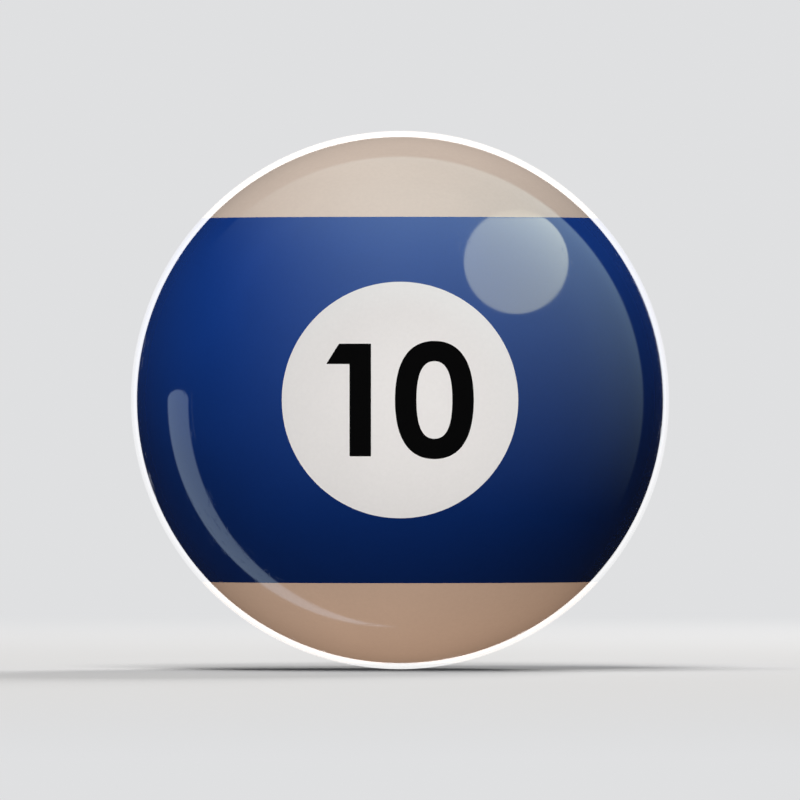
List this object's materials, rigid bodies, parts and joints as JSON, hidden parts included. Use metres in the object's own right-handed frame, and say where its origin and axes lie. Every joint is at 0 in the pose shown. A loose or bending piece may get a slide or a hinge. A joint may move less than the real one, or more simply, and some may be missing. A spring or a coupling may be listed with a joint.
{
  "type": "numbered pool ball",
  "caption": "Glossy striped pool ball with a white number disc and a black numeral on two opposite sides, built from cast resin zones, plugs and inlaid digits.",
  "frame": {"origin": "centre of the ball", "axes": "+Z through the two ivory caps, and the stripe runs round it; -Y through the middle of the front number and +Y through the back number, both upright along +Z; +X to the right of the front number"},
  "size_m": [0.0572, 0.0572, 0.0572],
  "materials": {
    "blue_resin": "cast phenolic resin, polished to a high gloss",
    "ivory_resin": "cast phenolic resin, warm ivory, polished to a high gloss",
    "white_resin": "cast phenolic resin, near white, polished to a high gloss",
    "black_resin": "cast phenolic resin, black, polished flush with the disc"
  },
  "bodies": {
    "root": {"stripe_zone": "blue_resin", "upper_cap": "ivory_resin", "lower_cap": "ivory_resin", "front_number_plug": "white_resin", "back_number_plug": "white_resin", "front_digit_one": "black_resin", "front_digit_zero": "black_resin", "back_digit_one": "black_resin", "back_digit_zero": "black_resin"}
  },
  "joints": []
}
